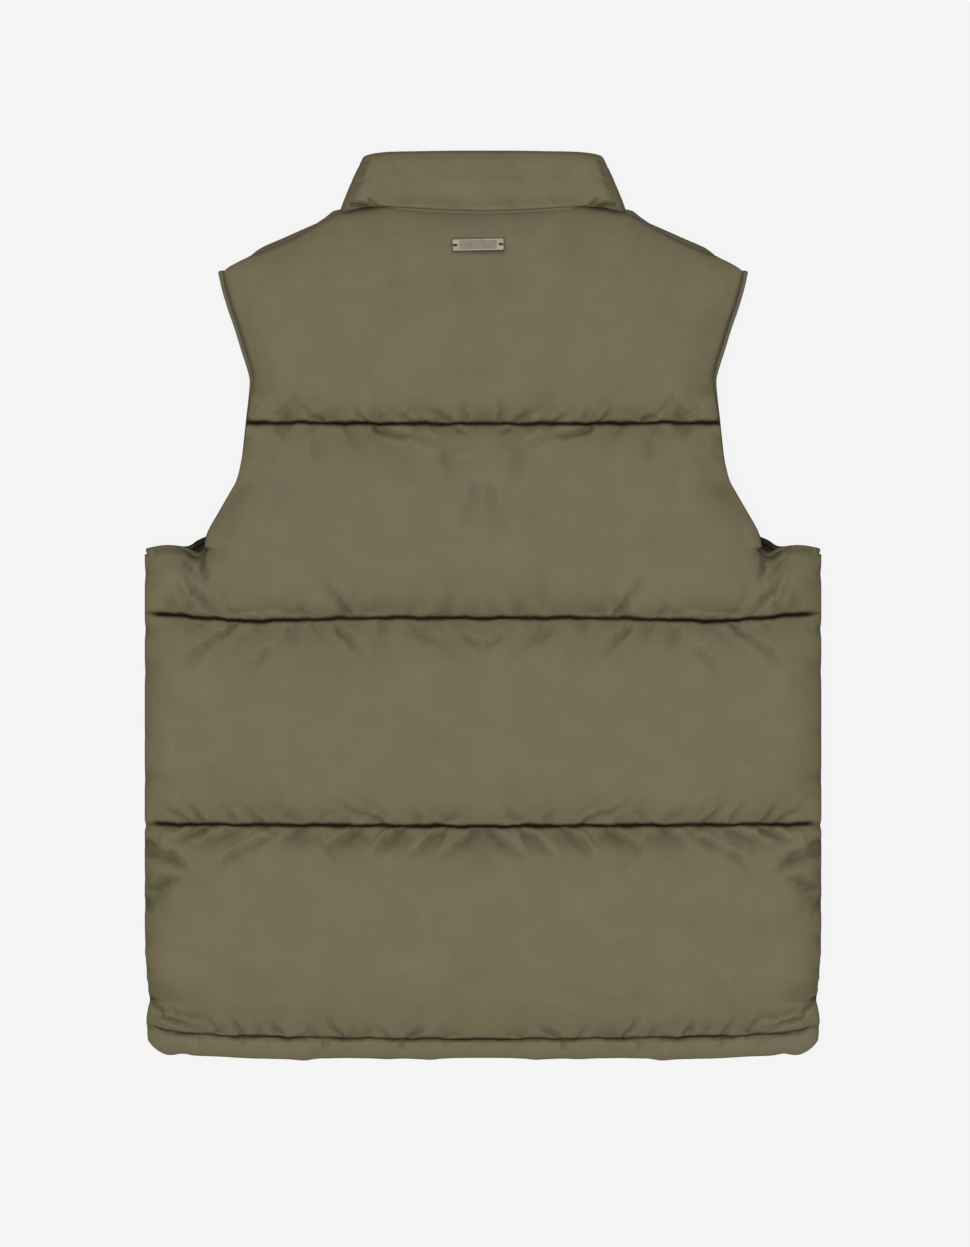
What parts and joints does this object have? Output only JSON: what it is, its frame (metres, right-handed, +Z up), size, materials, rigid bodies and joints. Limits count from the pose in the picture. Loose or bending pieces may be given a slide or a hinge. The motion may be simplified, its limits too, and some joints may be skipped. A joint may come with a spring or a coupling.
{
  "type": "padded vest lying flat",
  "caption": "Sleeveless quilted padded vest with a stand collar and closed front zip, lying flat face down with its back up.",
  "frame": {"origin": "on the floor, under the middle of the outline", "axes": "+X across the vest, +Y from hem to collar, +Z up out of the back panel; the front lies on the floor"},
  "size_m": [0.5546, 0.7458, 0.0412],
  "materials": {
    "shell": "matt olive taffeta over wadding",
    "binding": "matt olive taffeta, folded edge",
    "zip_tape": "woven zip tape",
    "zip_metal": "dull gunmetal",
    "plate_metal": "matt, with a raised rim"
  },
  "bodies": {
    "vest": {"back": "shell", "front_left": "shell", "front_right": "shell", "collar": "shell", "armhole_binding_left": "binding", "armhole_binding_right": "binding", "zip_tape_left": "zip_tape", "zip_tape_right": "zip_tape", "zip_slider": "zip_metal", "back_plate": "plate_metal"},
    "pull_tab": {"zip_pull": "zip_metal"}
  },
  "joints": [
    {"name": "pull_hinge", "type": "hinge", "parent": "vest", "child": "pull_tab", "pos_m": [0, 0.2851, 0.01295], "axis": [1, 0, 0], "range_deg": [0, 160]}
  ]
}
